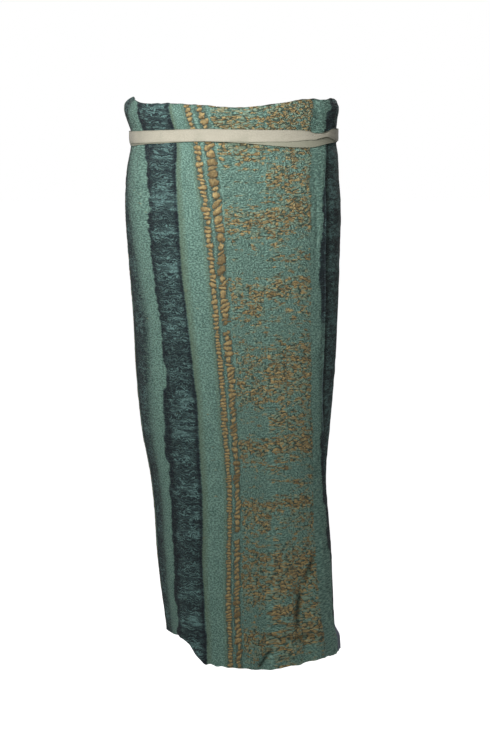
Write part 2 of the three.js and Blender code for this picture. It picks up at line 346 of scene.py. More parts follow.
@dataclass(frozen=True)
class BodyForm:
    """The worn form that the cloth takes: horizontal sections, an uneven top edge and hem, and folds."""

    roundness: float = 2.3
    least_depth: float = 1.5  # of a crease that counts as narrow and deep
    greatest_reach: float = 6.0
    full_depth: float = 3.5  # where it is fully in shade

    def place(self, turn: Array, z: Array, out: Array) -> Array:
        """Points of the form in metres.

        Args:
            turn: turns in degrees.
            z: heights in millimetres.
            out: how far each point stands off the form, in millimetres.

        Returns:
            An array of the same shape with x, y and z last.
        """
        turn, z, out = np.broadcast_arrays(*(np.asarray(given, float) for given in (turn, z, out)))
        left = SECTIONS.read("left", z)
        right = SECTIONS.read("right", z)
        angle = np.radians(turn)
        c = np.cos(angle)
        s = np.sin(angle)
        depth = np.where(s >= 0, SECTIONS.read("front", z), SECTIONS.read("back", z))
        half = (right - left) / 2
        n = self.roundness
        swell = (np.abs(c) ** n + np.abs(s) ** n) ** (-1 / n)
        x = c * swell
        y = -s * swell
        normal_x = np.sign(x) * np.abs(x) ** (n - 1) / half
        normal_y = np.sign(y) * np.abs(y) ** (n - 1) / depth
        length = np.hypot(normal_x, normal_y)
        points = np.stack(
            [
                (left + right) / 2 + x * half + normal_x / length * out,
                y * depth + normal_y / length * out,
                z,
            ],
            axis=-1,
        )
        return points * MM

    def press(self, turn: Array, z: Array) -> Array:
        """How far all folds and creases together press the cloth in."""
        total = np.zeros(np.shape(turn))
        for crease in MAIN_FOLDS + SMALL_CREASES:
            total = total + crease.press(turn, z)
        return total

    def folded(self, turn: Array, z: Array) -> Array:
        """How deep in a narrow crease each place lies, from 0 to 1, as the strength of the painted shade
        there.
        """
        total = np.zeros(np.shape(turn))
        for crease in SMALL_CREASES:
            if crease.depth >= self.least_depth and crease.reach <= self.greatest_reach:
                total = total + crease.press(turn, z) / self.full_depth
        return smoothstep(0.25, 1, total)

    def edge(self, which: str, turn: Array) -> Array:
        """The height of the top edge or of the hem at each turn."""
        return EDGES.read(which, np.mod(turn, 360))


class BandKind(Enum):
    """What fills a lengthwise band of the cloth."""

    NAVY = "navy"
    RUNGS = "rungs"
    FIELD = "field"
    OLIVE = "olive"


@dataclass(frozen=True)
class Band:
    """One lengthwise band: from start to end across the cloth."""

    kind: BandKind
    start: float
    end: float
    at_start: float = 1.0  # strength at its start and at its end
    at_end: float = 1.0
    ragged_start: float = 1.0  # how far its borders wander
    ragged_end: float = 1.0
    leans_at: str = ""  # the border that its crinkle leans at, if any
    paler: float = 0.0  # how much paler than the others a navy band is
    soft_start: float = 1.2  # half the width of its borders' fade
    soft_end: float = 1.2
    rim: float = 1.0  # how solid a navy band's dark border is


BANDS = (
    Band(BandKind.NAVY, -120, 11, ragged_end=3, paler=0.2, soft_end=2, rim=0.9),
    Band(BandKind.FIELD, 26, 101, ragged_end=1.6, leans_at="start"),
    Band(BandKind.FIELD, 101, 169, ragged_start=1.6, ragged_end=2.5),
    Band(BandKind.RUNGS, 172, 189),
    Band(BandKind.RUNGS, 195, 208),
    Band(BandKind.OLIVE, 208, 216, 0.8, 0.0),
    Band(BandKind.OLIVE, 238, 250, 0.2, 1.0),
    Band(BandKind.NAVY, 250, 304, 1.0, 0.85, 0.8, 5.0, soft_start=2.2, soft_end=2),
    Band(BandKind.NAVY, 342, 388, 1.0, 1.0, 3.0, 3.0, soft_start=24, soft_end=2),
    Band(BandKind.RUNGS, 394, 408),
    Band(BandKind.FIELD, 414, 470, ragged_start=3, ragged_end=3),
    Band(BandKind.OLIVE, 512, 524, 0.2, 1.0),
    Band(BandKind.NAVY, 524, 580, 1.0, 0.85, 0.8, 5.0, soft_start=2.2, soft_end=2),
    Band(BandKind.RUNGS, 616, 630),
    Band(BandKind.RUNGS, 636, 654),
    Band(BandKind.FIELD, 658, 726, ragged_start=2.5, ragged_end=1.6),
    Band(BandKind.FIELD, 728, 802, ragged_start=1.6, leans_at="end"),
    Band(BandKind.NAVY, 820, 874, 0.9, 0.9, 7.0, 3.0, paler=0.25, soft_start=2, soft_end=4),
    Band(BandKind.NAVY, 905, 1042, 0.88, 0.88, 4.0, 3.0, paler=0.35, soft_start=4, soft_end=2, rim=0.4),
    Band(BandKind.RUNGS, 1078, 1092),
    Band(BandKind.FIELD, 1100, 1174, ragged_start=2.5, leans_at="end"),
    Band(BandKind.NAVY, 1192, 1240, 0.9, 0.9, 3.0, 3.0),
)

# How many repeats of the gold lie above each height
REPEATS = table(
    "z count",
    (76, 0.62),
    (49, 0.67),
    (-21, 0.78),
    (-58, 0.87),
    (-128, 1),
    (-513, 2),
    (-842, 3),
    (-900, 3.18),
)

# How thickly the gold lies in one repeat: in the plain field, at the leaning field's two borders
# and on the wide rungs
GOLD_REPEAT = table(
    "share field upright leaning rungs",
    (0, 0.9, 1, 1, 0.9),
    (0.05, 0.6, 0.6, 0.6, 0.7),
    (0.11, 0.4, 0.6, 0.25, 0.5),
    (0.14, 0.2, 0.25, 0.4, 0.5),
    (0.17, 0.16, 0.6, 0.6, 0.45),
    (0.22, 0.16, 0.2, 0.4, 0.5),
    (0.28, 0.7, 1, 0.95, 0.9),
    (0.34, 0.7, 0.45, 0.5, 0.9),
    (0.39, 0.65, 0.4, 0.6, 0.9),
    (0.46, 0.4, 0.3, 0.35, 0.1),
    (0.5, 0.4, 0.35, 0.5, 1),
    (0.57, 0.6, 0.7, 0.75, 0.9),
    (0.67, 0.65, 0.9, 0.8, 0.9),
    (0.76, 0.8, 0.65, 0.7, 0.8),
    (0.82, 0.45, 0.45, 0.6, 0.6),
    (0.87, 0.3, 0.95, 0.65, 0.6),
    (0.93, 0.25, 0.4, 0.75, 0.7),
    (1, 0.9, 1, 1, 0.9),
)

# How pale the navy bands are in the same repeat
NAVY_REPEAT = table(
    "share pale",
    (0, 0.1),
    (0.03, 0.25),
    (0.06, 0.75),
    (0.09, 0.5),
    (0.13, 0.25),
    (0.18, 0.35),
    (0.22, 0.8),
    (0.25, 0.4),
    (0.3, 0.3),
    (0.36, 0.45),
    (0.42, 0.35),
    (0.47, 0.6),
    (0.52, 0.2),
    (0.6, 0.15),
    (0.67, 0.4),
    (0.71, 0.2),
    (0.76, 0.45),
    (0.8, 0.55),
    (0.85, 0.25),
    (0.91, 0.6),
    (0.95, 0.75),
    (0.98, 0.25),
    (1, 0.1),
)


def bands_of(kind: BandKind) -> list[tuple[int, Band]]:
    """The bands of one kind, each with its number."""
    return [(number, band) for number, band in enumerate(BANDS) if band.kind is kind]


def soft_noise(shape: tuple[int, int], wavelength: Pair, seed: int, band: float = 0.45) -> Array:
    """Random waves of about one length.

    Args:
        shape: rows and columns of the grid.
        wavelength: in grid steps down the rows and across the columns.
        seed: of the random draw.
        band: how much the lengths vary.

    Returns:
        A grid with a mean of 0 and a spread of 1.
    """
    white = np.random.default_rng(seed).standard_normal(shape)
    down = np.fft.fftfreq(shape[0])[:, None] * wavelength[0]
    across = np.fft.rfftfreq(shape[1])[None, :] * wavelength[1]
    keep = np.exp(-(((np.hypot(down, across) - 1) / band) ** 2))
    grid = np.fft.irfft2(np.fft.rfft2(white) * keep, s=shape)
    return grid / grid.std()


def stepped(values: Array, size: float, seed: int) -> Array:
    """A random number from -1 to 1 for each stretch of about this size, with short ramps between them."""
    many = 4096  # draws, more than there are stretches
    draws = np.random.default_rng(seed).uniform(-1, 1, many)
    place = values / size + 1000
    cell = np.floor(place).astype(int)
    ramp = smoothstep(0.8, 1.0, place - cell)
    return draws[cell % many] * (1 - ramp) + draws[(cell + 1) % many] * ramp


@dataclass
class ClothPattern:
    """The bands of the cloth as strengths at places across and along it."""

    across: Array
    along: Array
    seed: int
    rung_count: int = 260  # more than the cloth's length holds
    wide_rungs: float = 15.0  # the width from which a band of rungs counts as wide

    def inside(self, band: Band, number: int) -> Array:
        """How much each place is inside a band, whose borders wander in steps."""
        seed = self.seed + 7 * number
        wander = stepped(self.along, 7.0, seed) * 0.35 + stepped(self.along, 42.0, seed + 1)
        start = band.start + wander * band.ragged_start
        end = band.end - wander * band.ragged_end
        first = smoothstep(-band.soft_start, band.soft_start, self.across - start)
        return first * smoothstep(-band.soft_end, band.soft_end, end - self.across)

    def strength(self, kind: BandKind) -> Array:
        """How strong one kind of filling is at each place, from 0 to 1."""
        total = np.zeros(self.across.shape)
        for number, band in bands_of(kind):
            share = np.clip((self.across - band.start) / (band.end - band.start), 0, 1)
            level = band.at_start + (band.at_end - band.at_start) * share
            total = np.maximum(total, self.inside(band, number) * level)
        return total

    def repeat(self, column: str) -> Array:
        """One column of the gold's repeat at each place."""
        shifted = self.along + 5 * stepped(self.across, 12.0, self.seed + 103)
        shifted = shifted + 3 * stepped(self.along, 9.0, self.seed + 104)
        return GOLD_REPEAT.read(column, np.mod(REPEATS.read("count", -shifted), 1.0))

    def fields(self) -> Array:
        """How thickly gold lies in the wide fields, from 0 to 1."""
        total = np.zeros(self.across.shape)
        for number, band in bands_of(BandKind.FIELD):
            level = self.repeat("field")
            if band.leans_at:
                near = self.nearness(band)
                level = self.repeat("leaning") * near + self.repeat("upright") * (1 - near)
            level = level + 0.1 * smoothstep(430, 740, self.along)
            total = np.maximum(total, self.inside(band, number) * level)
        return np.clip(total, 0, 1)

    def nearness(self, band: Band) -> Array:
        """How near each place is to the border that a band's crinkle leans at, from 0 to 1."""
        share = (self.across - band.start) / (band.end - band.start)
        if band.leans_at == "end":
            share = 1 - share
        return smoothstep(0.75, 0.45, share)

    def lean(self) -> Array:
        """1 where the crinkle leans, 0 where it lies level."""
        total = np.zeros(self.across.shape)
        for band in BANDS:
            if band.leans_at:
                inside = smoothstep(band.start - 6, band.start, self.across)
                inside = inside * smoothstep(band.end + 6, band.end, self.across)
                total = np.maximum(total, inside * self.nearness(band))
        return total

    def in_fields(self) -> Array:
        """1 in the wide fields and the narrow gold bands, whose crinkle is strong, and 0 elsewhere."""
        return np.maximum(self.strength(BandKind.FIELD), 0.8 * self.strength(BandKind.RUNGS))

    def patches(self) -> Array:
        """How pale each place of the navy bands is, from 0 to 1: blocks with level and upright borders."""
        column = stepped(self.across, 11.0, self.seed + 201)
        block = stepped(self.along + 11 * column, 15.0, self.seed + 202)
        bar = stepped(self.along, 6.0, self.seed + 203)
        repeats = REPEATS.read("count", -(self.along + 4 * column))
        pale = NAVY_REPEAT.read("pale", np.mod(repeats, 1.0)) + 0.16 * column + 0.2 * block + 0.12 * bar
        for band in BANDS:
            inside = (self.across > band.start) * (self.across < band.end)
            pale = pale + band.paler * inside * (1 + 0.8 * block)
        return np.clip(pale, 0, 1)

    def border(self) -> Array:
        """The solid dark border of the navy bands, from 0 to 1."""
        total = np.zeros(self.across.shape)
        for number, band in bands_of(BandKind.NAVY):
            wander = stepped(self.along, 8.0, self.seed + 400 + number)
            first = smoothstep(3.0, -3.0, self.across - band.start - 5 - 1.6 * wander)
            last = smoothstep(-3.0, 3.0, self.across - band.end + 9 + 4 * wander)
            total = np.maximum(total, self.inside(band, number) * np.maximum(first, last) * band.rim)
        return total

    def rungs(self) -> tuple[Array, ...]:
        """The rungs of the narrow gold bands.

        Returns:
            A count that grows by 1 with each rung down the cloth, the share of the half width away from the
            middle of the nearest band, how much gold the rungs have, and how high the cloth puffs up between
            two creases.
        """
        count = np.zeros(self.across.shape)
        side = np.full(self.across.shape, 4.0)
        puff = np.zeros(self.across.shape)
        gold = np.zeros(self.across.shape)
        wide_gold = self.repeat("rungs")
        down = self.along + 0.45 * np.maximum(self.along - 280, 0)
        for number, band in bands_of(BandKind.RUNGS):
            draw = np.random.default_rng(self.seed + 300 + number)
            wide = band.end - band.start > self.wide_rungs
            borders = np.cumsum(draw.uniform(5.0, 18.0 if wide else 11.0, self.rung_count)) - 700.0
            leans = draw.uniform(-0.9 if wide else -0.5, 0.3, self.rung_count)
            shifts = draw.uniform(-2.4, 2.4, self.rung_count) * (1.0 if wide else 0.4)
            off = self.across - (band.start + band.end) / 2
            lean = np.interp(down, borders, leans)
            phase = np.interp(down + lean * off, borders, np.arange(float(self.rung_count)))
            away = np.abs(off - np.interp(down, borders, shifts)) / ((band.end - band.start) / 2)
            here = away < side
            count = np.where(here, phase + 300 * number, count)
            side = np.where(here, away, side)
            gold = np.where(here, wide_gold if wide else 0.96, gold)
            from_middle = 2 * np.abs(phase - np.floor(phase) - 0.5)
            puff = np.where(here, (1 - from_middle**3) * smoothstep(1.25, 0.7, away), puff)
        return count, side, gold, puff


def maximum_near(values: Array, steps: int) -> Array:
    """The greatest value within some steps of each place of a grid, both ways."""
    result = values
    for axis in (0, 1):
        padding = [(0, 0), (0, 0)]
        padding[axis] = (steps, steps)
        padded = np.pad(result, padding, mode="edge")
        windows = np.lib.stride_tricks.sliding_window_view(padded, 2 * steps + 1, axis=axis)
        result = windows.max(axis=-1)
    return result


class Signal:
    """A node's output. Plain operators join it to further Math nodes."""

    def __init__(self, wires: "Wiring", socket: bpy.types.NodeSocket) -> None:
        """Keeps the output and the wiring that it belongs to."""
        self.wires = wires
        self.socket = socket

    def __add__(self, other: object) -> "Signal":
        """The sum."""
        return self.wires.math("ADD", self, other)

    def __sub__(self, other: object) -> "Signal":
        """The difference."""
        return self.wires.math("SUBTRACT", self, other)

    def __mul__(self, other: object) -> "Signal":
        """The product."""
        return self.wires.math("MULTIPLY", self, other)

    def __truediv__(self, other: object) -> "Signal":
        """The quotient."""
        return self.wires.math("DIVIDE", self, other)

    def __pow__(self, other: object) -> "Signal":
        """The power."""
        return self.wires.math("POWER", self, other)


Inputs = dict[object, object]


class Wiring:
    """Adds nodes to one tree and joins them."""

    def __init__(self, tree: bpy.types.NodeTree) -> None:
        """Keeps the tree that is wired."""
        self.tree = tree

    def feed(self, node: bpy.types.Node, inputs: Inputs) -> None:
        """Joins signals to a node's inputs, by name or number, or sets plain values on them."""
        for name, value in inputs.items():
            if isinstance(value, Signal):
                self.tree.links.new(value.socket, node.inputs[name])
            else:
                node.inputs[name].default_value = value

    def node(self, kind: str, inputs: Inputs, **settings: object) -> bpy.types.Node:
        """A new shader node with its settings and inputs."""
        made = self.tree.nodes.new("ShaderNode" + kind)
        for name, value in settings.items():
            setattr(made, name, value)
        self.feed(made, inputs)
        return made

    def outputs(self, kind: str, inputs: Inputs, **settings: object) -> dict[str, Signal]:
        """Every output of a new node by name."""
        made = self.node(kind, inputs, **settings)
        return {socket.name: Signal(self, socket) for socket in made.outputs}

    def signal(self, kind: str, inputs: Inputs, output: object = 0, **settings: object) -> Signal:
        """One output of a new node."""
        return Signal(self, self.node(kind, inputs, **settings).outputs[output])

    def math(self, operation: str, *values: object, clamp: bool = False) -> Signal:
        """One Math node."""
        return self.signal("Math", dict(enumerate(values)), operation=operation, use_clamp=clamp)

    def ramp(self, value: Signal, low: object, high: float, start: float = 0.0, end: float = 1.0) -> Signal:
        """A smooth step from start at low to end at high."""
        names = ("Value", "From Min", "From Max", "To Min", "To Max")
        inputs = dict(zip(names, (value, low, high, start, end)))
        return self.signal("MapRange", inputs, "Result", interpolation_type="SMOOTHSTEP")

    def blend(self, share: Signal, first: object, second: object, mode: str = "MIX") -> Signal:
        """Mixes two colours."""
        inputs = {"Factor": share, 6: first, 7: second}
        return self.signal("Mix", inputs, 2, data_type="RGBA", blend_type=mode, clamp_factor=True)

    def between(self, share: Signal, first: object, second: object) -> Signal:
        """Mixes two numbers."""
        inputs = {"Factor": share, 2: first, 3: second}
        return self.signal("Mix", inputs, data_type="FLOAT", clamp_factor=True)

    def noise(
        self, place: Signal, scale: float, detail: float = 2.0, rough: float = 0.5, output: str = "Fac"
    ) -> Signal:
        """Plain noise from 0 to 1. The scale is in waves per millimetre."""
        inputs = {"Vector": place, "Scale": scale, "Detail": detail, "Roughness": rough}
        return self.signal("TexNoise", inputs, output, noise_dimensions="2D")

    def stretched(self, place: Signal, across: float, along: float, turn: float = 0.0) -> Signal:
        """A place with its two directions scaled, after a turn in degrees."""
        rotation = (0.0, 0.0, math.radians(turn))
        inputs = {"Vector": place, "Rotation": rotation, "Scale": (across, along, 1.0)}
        return self.signal("Mapping", inputs, vector_type="POINT")

    def scaled(self, vector: Signal, factor: object) -> Signal:
        """A vector times a number."""
        return self.signal("VectorMath", {0: vector, "Scale": factor}, operation="SCALE")

    def group(self, tree: bpy.types.NodeTree, **values: object) -> dict[str, Signal]:
        """The outputs by name of a node group with its inputs fed."""
        inputs = {name.capitalize(): value for name, value in values.items()}
        return self.outputs("Group", inputs, node_tree=tree)

    def bump(self, height: Signal, strength: float, millimetres: float) -> Signal:
        """A normal that a height from 0 to about 1 tilts."""
        return self.signal("Bump", {"Strength": strength, "Distance": millimetres * MM, "Height": height})

    def strength(self, name: str) -> Signal:
        """A number that the mesh holds at each point."""
        return self.signal("Attribute", {}, "Fac", attribute_type="GEOMETRY", attribute_name=name)

    def place_mm(self) -> Signal:
        """The place on the cloth, in millimetres across and along it."""
        return self.scaled(self.signal("UVMap", {}, uv_map="cloth"), 1 / MM)


def new_group(
    name: str, inputs: dict[str, float | None], outputs: tuple[str, ...]
) -> tuple[Wiring, dict[str, Signal], bpy.types.Node]:
    """Starts a shader node group.

    Args:
        name: the group's name.
        inputs: each input's name, with the first value of a number, or None for a place.
        outputs: the names of its outputs, all numbers.

    Returns:
        The group's wiring, its inputs by name, and the node that its outputs are fed to.
    """
    tree = bpy.data.node_groups.new(name, "ShaderNodeTree")
    for label, value in inputs.items():
        kind = "NodeSocketVector" if value is None else "NodeSocketFloat"
        socket = tree.interface.new_socket(name=label, in_out="INPUT", socket_type=kind)
        if value is not None:
            socket.default_value = value
    for label in outputs:
        tree.interface.new_socket(name=label, in_out="OUTPUT", socket_type="NodeSocketFloat")
    wires = Wiring(tree)
    entry = tree.nodes.new("NodeGroupInput")
    leave = tree.nodes.new("NodeGroupOutput")
    return wires, {label: Signal(wires, entry.outputs[label]) for label in inputs}, leave


class SharedEffects:
    """The effects that more than one material uses, each a node group that is built once."""

    def __init__(self) -> None:
        """Builds every group."""
        self.fine_grain = self.build_fine_grain()
        self.meander = self.build_meander()

    def build_fine_grain(self) -> bpy.types.NodeTree:
        """Threads and their unevenness: a height, and a shade from 0 to 1."""
        w, given, leave = new_group("fine_grain", {"Place": None, "Thread": 1.0}, ("Height", "Shade"))
        by_thread = w.scaled(given["Place"], w.math("DIVIDE", 1.0, given["Thread"]))
        pebbles = w.noise(w.stretched(by_thread, 0.85, 1.15), 0.3, 3.0, 0.6)
        broad = w.noise(given["Place"], 0.045)
        shade = broad * 0.35 + w.ramp(pebbles, 0.4, 0.62) * 0.65
        w.feed(leave, {"Height": w.ramp(pebbles, 0.32, 0.68), "Shade": shade})
        return w.tree

    def build_meander(self) -> bpy.types.NodeTree:
        """Wandering level lines that close into loops here and there, as a wave from 0 to 1."""
        inputs = {"Place": None, "Pitch": 6.0, "Cell": 24.0, "Swirl": 3.0}
        w, given, leave = new_group("meander", inputs, ("Lines",))
        by_cell = w.scaled(given["Place"], w.math("DIVIDE", 1.0, given["Cell"]))
        broad = w.noise(by_cell, 1.0, 1.5, 0.4)
        small = w.noise(given["Place"], 0.14, 2.0, 0.6)
        level = w.signal("SeparateXYZ", {0: given["Place"]}, "Y") / given["Pitch"]
        turns = broad * given["Swirl"] + (small * 1.9 + level)
        wave = w.math("SINE", turns * (2 * math.pi))
        w.feed(leave, {"Lines": wave * 0.5 + 0.5})
        return w.tree


def linear(red: int, green: int, blue: int) -> Colour:
    """A display colour from 0 to 255 as a linear one."""
    parts = [value / 255 for value in (red, green, blue)]
    straight = [p / 12.92 if p <= 0.04045 else ((p + 0.055) / 1.055) ** 2.4 for p in parts]
    return (straight[0], straight[1], straight[2], 1.0)


def start_material(name: str) -> tuple[bpy.types.Material, Wiring, bpy.types.Node]:
    """A new material, its wiring, and the one shader on its surface."""
    made = bpy.data.materials.new(name)
    made.use_nodes = True
    made.node_tree.nodes.clear()
    w = Wiring(made.node_tree)
    shader = w.node("BsdfPrincipled", {})
    w.node("OutputMaterial", {"Surface": Signal(w, shader.outputs[0])})
    return made, w, shader


@dataclass(frozen=True)
class Layer:
    """What one effect adds to the cloth: its cover, its colour, its relief, and where that relief lies."""

    cover: Signal
    colour: Signal
    height: Signal
    area: Signal


@dataclass(frozen=True)
class ClothFinish:
    """The crinkled cloth's right side."""

    # teal_high and teal_low also serve as lit and shaded teal: painted light on the crinkle's crests and
    # painted shade in its valleys
    teal_high: Colour = linear(156, 197, 180)
    teal_low: Colour = linear(78, 112, 102)
    olive: Colour = linear(112, 132, 106)
    # gold_high and gold_low also serve as lit and shaded gold: painted highlight on the lumps' crowns and
    # upper sides, painted shade at their rims
    gold_high: Colour = linear(212, 182, 122)
    gold_low: Colour = linear(112, 88, 52)
    gold_tint: Colour = linear(158, 160, 118)
    # painted shade in the creases between the rungs' lumps
    rung_crease_shade: Colour = linear(62, 66, 54)
    navy: Colour = linear(22, 34, 43)
    navy_high: Colour = linear(124, 164, 160)
    navy_border: Colour = linear(22, 33, 41)
    selvedge: Colour = linear(124, 132, 150)
    shadow: Colour = (0.2, 0.22, 0.19, 1.0)  # what a crease's shade leaves of the colour
    shade_in_crease: float = 0.9
    shade_in_fold: float = 0.75
    gold_cover: float = 0.92
    roughness: float = 0.82
    gold_roughness: float = 0.6
    thread: float = 0.85
    relief_mm: float = 2.4
    lump_mm: float = 4.3
    lump_bend: float = 9.0  # how far the rows of lumps wander
    level_pitch: float = 4.7
    upright_pitch: float = 4.5
    leaning_pitch: float = 4.6
    lean_turn: float = 52.0  # degrees

    def aligned(self, w: Wiring, place: Signal, across: float, along: float) -> Signal:
        """A place scaled along the crinkle's own direction, which leans in one part of the fields."""
        inputs = {
            "Factor": w.ramp(w.strength("lean"), 0.48, 0.52),
            4: w.stretched(place, across, along),
            5: w.stretched(place, across, along, self.lean_turn),
        }
        return w.signal("Mix", inputs, 1, data_type="VECTOR", clamp_factor=True)

    def gold(self, w: Wiring, place: Signal) -> Layer:
        """The gold of the wide fields: blocks of small lumps in rows, a few of which stay teal."""
        density = w.strength("field")
        blocks = w.noise(self.aligned(w, place, 0.55, 1.35), 0.1, 3.0, 0.6)
        block = w.ramp(density + (blocks * 2.2 - 1.1), 0.4, 0.72)
        wander = w.noise(place, 0.12, output="Color")
        bend = {0: wander, 1: (self.lump_bend, self.lump_bend, 0.0), 2: self.aligned(w, place, 0.74, 1.3)}
        bent = w.signal("VectorMath", bend, operation="MULTIPLY_ADD")
        lumps = {"Vector": bent, "Scale": 1 / self.lump_mm, "Randomness": 0.75}
        cells = w.outputs("TexVoronoi", lumps, voronoi_dimensions="2D", feature="F1")
        draws = w.outputs("SeparateColor", {0: cells["Color"]})
        dome = w.ramp(cells["Distance"], draws["Green"] * 0.2 + 0.6, 0.25)
        golden = w.ramp(density * 0.5 + 0.35 - draws["Red"], -0.05, 0.3)
        cover = block * golden * w.ramp(dome, 0.0, 0.45, 0.3, 1.0)
        # painted highlight on each lump's crown, darker towards its rim, times a random tone for each lump
        painted_light_and_tone = dome * (draws["Blue"] * 0.8 + 0.25)
        return Layer(cover, w.blend(painted_light_and_tone, self.gold_low, self.gold_high), dome, block)

    def rungs(self, w: Wiring, place: Signal) -> Layer:
        """The gold of the narrow bands: one rounded lump between each two creases."""
        count = w.strength("rung_count")
        uneven = w.noise(place, 0.16)
        part = w.math("FRACT", count + (w.noise(place, 0.2, 1.0) * 0.5 - 0.25))
        number = w.math("FLOOR", count)
        chance = w.signal("TexWhiteNoise", {"W": number}, "Value", noise_dimensions="1D")
        wide = chance * 0.65 + (uneven * 1.3 - 0.1)
        side = (w.strength("rung_side") / wide) ** 2.4
        from_middle = w.math("ABSOLUTE", part - 0.5) * 2.0
        away = side + from_middle**2.8
        spare = w.strength("rung_gold") * 2.2 - chance
        gold = w.ramp(spare, -0.1, 0.05)
        cover = w.ramp(away, 1.1, 0.65) * gold
        # painted light: each lump lighter at its top and middle, darker at its lower side and rim, times an
        # uneven tone and the gold's density
        painted_light_and_tone = w.ramp(part, 1.0, 0.3) * w.ramp(away, 0.9, 0.15, 0.35, 1.0)
        painted_light_and_tone = painted_light_and_tone * w.ramp(uneven, 0.3, 0.7, 0.55, 1.3) * w.ramp(spare, 0.2, 1.2, 0.35, 1.0)
        return Layer(cover, w.blend(painted_light_and_tone, self.gold_low, self.gold_high), cover, gold)

    def dark_bands(self, w: Wiring, place: Signal, effects: SharedEffects, ground: Signal) -> Signal:
        """Lays the navy bands over the ground colour: blocks, fine lines through them and a solid border."""
        fuzz = w.noise(w.stretched(place, 0.35, 1.0, -20.0), 0.34, 3.0, 0.6)
        cover = w.ramp(w.strength("navy") + (fuzz * 1.4 - 0.7), 0.1, 0.9)
        pale = w.strength("pale") + (fuzz * 0.5 - 0.25)
        lines = w.group(effects.meander, place=place, pitch=5.4, cell=14.0, swirl=3.6)["Lines"]
        bars = w.ramp(w.noise(w.stretched(place, 0.18, 1.0), 0.14, 1.0), 0.53, 0.66)
        streaks = w.ramp(w.noise(w.stretched(place, 0.16, 1.0, 8.0), 0.26, 3.0), 0.48, 0.6)
        gaps = w.noise(w.stretched(place, 0.3, 1.0, 6.0), 0.17, 3.0)
        share = w.ramp(lines, 0.4, 0.88) * w.ramp(pale, 0.0, 0.6, 0.4, 1.0)
        share = w.math("MAXIMUM", share, bars * w.ramp(pale, 0.2, 0.6, 0.1, 0.5))
        share = w.math("MAXIMUM", share, streaks * w.ramp(pale, 0.3, 0.8, 0.0, 0.85))
        share = w.math("ADD", share, w.ramp(pale, 0.62, 0.95, 0.0, 0.26), clamp=True)
        share = share * w.ramp(w.noise(place, 0.35), 0.32, 0.58, 0.5, 1.0)
        share = share * w.ramp(gaps, 0.4, 0.56, 0.3, 1.0)
        colour = w.blend(cover * 0.95, ground, w.blend(share, self.navy, self.navy_high))
        solid = w.strength("border") * w.ramp(fuzz, 0.3, 0.6, 0.6, 0.95)
        return w.blend(solid, colour, self.navy_border)

    def crinkle(self, w: Wiring, place: Signal, effects: SharedEffects, pebbles: Signal) -> Signal:
        """The crinkle's ridges: level, upright or leaning lines, and only pebbles here and there."""
        level = w.group(effects.meander, place=place, pitch=self.level_pitch, cell=20.0, swirl=3.4)
        turned = w.stretched(place, 1.0, 1.0, 90.0)
        upright = w.group(effects.meander, place=turned, pitch=self.upright_pitch, cell=20.0, swirl=2.6)
        turned = w.stretched(place, 1.0, 1.0, self.lean_turn)
        leaning = w.group(effects.meander, place=turned, pitch=self.leaning_pitch, cell=22.0, swirl=2.4)
        is_upright = w.ramp(w.noise(place, 0.035, 1.0), 0.55, 0.6)
        ridges = w.between(is_upright, level["Lines"], upright["Lines"])
        ridges = w.between(w.strength("lean"), ridges, leaning["Lines"])
        whole = w.ramp(w.noise(place, 0.13), 0.34, 0.6) * w.ramp(w.strength("field"), 0.25, 0.75, 0.5, 1.0)
        return w.between(whole, w.ramp(pebbles, 0.0, 1.0, 0.3, 0.75), ridges)

    def material(self, effects: SharedEffects) -> bpy.types.Material:
        """Builds the material."""
        made, w, shader = start_material("crinkled_cloth_right_side")
        place = w.place_mm()
        grain = w.group(effects.fine_grain, place=place, thread=self.thread)
        in_field = w.strength("in_field")
        gold = self.gold(w, place)
        rungs = self.rungs(w, place)
        ridges = w.between(gold.area, self.crinkle(w, place, effects, grain["Height"]), gold.height)
        near_rungs = w.ramp(w.strength("rung_side"), 1.25, 0.9) * rungs.area

        # painted light and shade: in the fields the crinkle's crests take the lighter teal and its valleys
        # the darker; elsewhere mostly the threads' uneven tone sets it
        shade = w.between(in_field * 0.7, grain["Shade"], w.ramp(ridges, 0.1, 0.9))
        colour = w.blend(shade, self.teal_low, self.teal_high)
        colour = w.blend(w.strength("olive") * 0.8, colour, self.olive)
        tint = gold.area * w.ramp(gold.height, 0.0, 0.5, 0.05, 0.42)
        colour = w.blend(tint, colour, self.gold_tint)
        colour = w.blend(gold.cover * self.gold_cover, colour, gold.colour)
        # painted shade in the creases between the rungs, where no gold covers the cloth
        colour = w.blend(near_rungs * (rungs.cover * -0.55 + 0.55), colour, self.rung_crease_shade)
        colour = w.blend(rungs.cover * self.gold_cover, colour, rungs.colour)
        colour = self.dark_bands(w, place, effects, colour)
        # painted shade in the crinkle's valleys and round the gold lumps
        painted_valley_shade = w.ramp(ridges, 0.3, 0.04) * (gold.area * 0.2 + 0.34)
        colour = w.blend(painted_valley_shade * (in_field * self.shade_in_crease), colour, self.shadow, "MULTIPLY")
        colour = w.blend(w.strength("selvedge"), colour, self.selvedge)
        # painted shade in narrow creases and painted shadow beside the front's free edge
        colour = w.blend(w.strength("folded") * self.shade_in_fold, colour, self.shadow, "MULTIPLY")

        golden = w.math("MAXIMUM", gold.cover, rungs.cover)
        relief = ridges * w.between(in_field, 0.12, 0.95)
        relief = grain["Height"] * 0.42 + w.between(near_rungs, relief, rungs.cover)
        surface = {
            "Base Color": colour,
            "Roughness": w.between(golden, self.roughness, self.gold_roughness),
            "Sheen Weight": 0.1,
            "Sheen Roughness": 0.5,
            "Specular IOR Level": 0.3,
            "Normal": w.bump(relief, 1.0, self.relief_mm),
        }
        w.feed(shader, surface)
        return made


